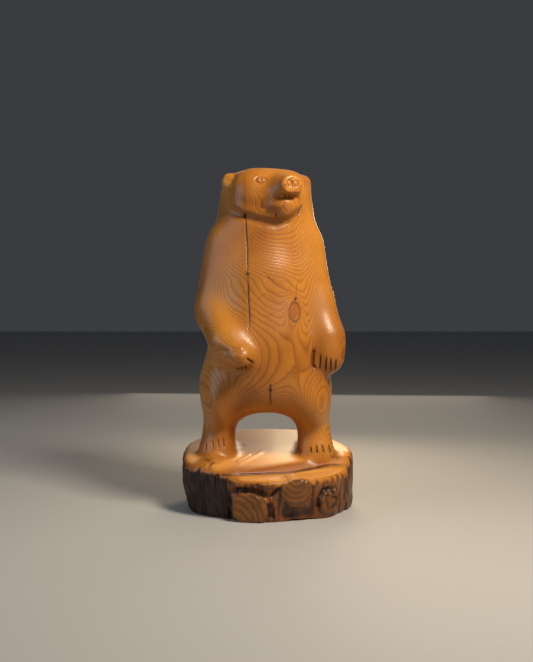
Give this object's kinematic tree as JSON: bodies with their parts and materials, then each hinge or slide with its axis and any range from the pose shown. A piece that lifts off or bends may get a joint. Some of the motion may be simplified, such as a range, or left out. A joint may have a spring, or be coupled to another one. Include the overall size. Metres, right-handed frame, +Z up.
{
  "type": "carved wooden bear statue",
  "caption": "Upright bear carved with its stump from one log, arms down, head turned to one side, standing on a sawn slice with rough bark; a freestanding ornament.",
  "frame": {"origin": "middle of the underside, where the stump rests", "axes": "+Z up the log, -Y is the way the bear's chest faces, +X to a viewer's right"},
  "size_m": [0.4522, 0.4516, 0.8938],
  "materials": {
    "varnished_softwood": "gloss varnish"
  },
  "bodies": {
    "root": {"carved_bear": "varnished_softwood"}
  },
  "joints": []
}
